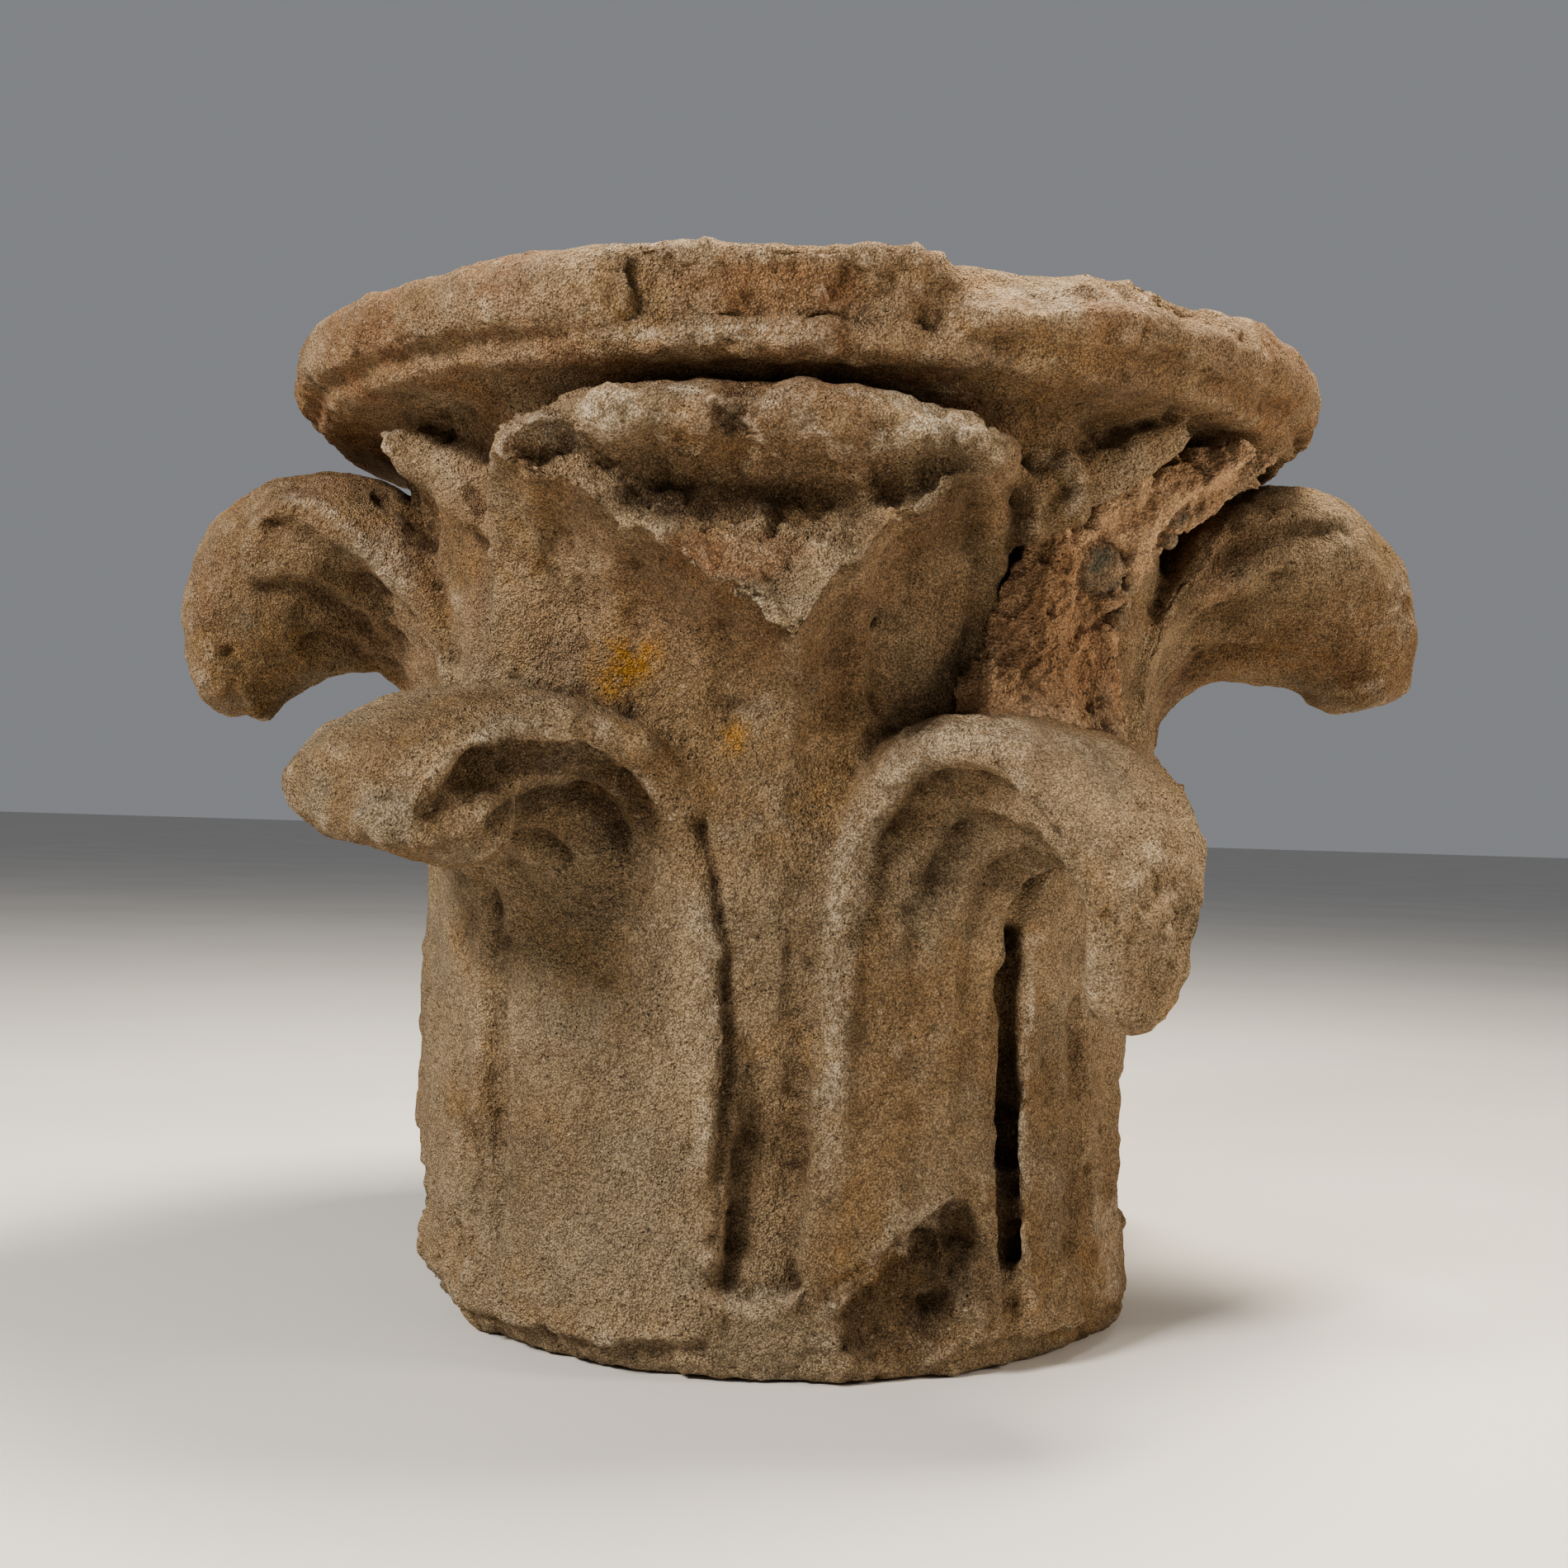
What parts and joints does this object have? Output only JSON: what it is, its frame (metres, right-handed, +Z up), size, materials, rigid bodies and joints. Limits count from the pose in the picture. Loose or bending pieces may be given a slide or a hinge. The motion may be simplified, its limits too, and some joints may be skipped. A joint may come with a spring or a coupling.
{
  "type": "limestone column capital",
  "caption": "Worn limestone column capital: round moulded abacus on a bell with tiers of broad fluted leaves that curl outward, their tips and rim broken.",
  "frame": {"origin": "centre of the lower bed, on the capital's axis", "axes": "+Z up along the axis to the upper bed; the broken front leaf faces -Y; +X is to the right of someone who faces it"},
  "size_m": [0.5314, 0.482, 0.392],
  "materials": {
    "limestone": "rough, weathered"
  },
  "bodies": {
    "root": {"capital": "limestone"}
  },
  "joints": []
}
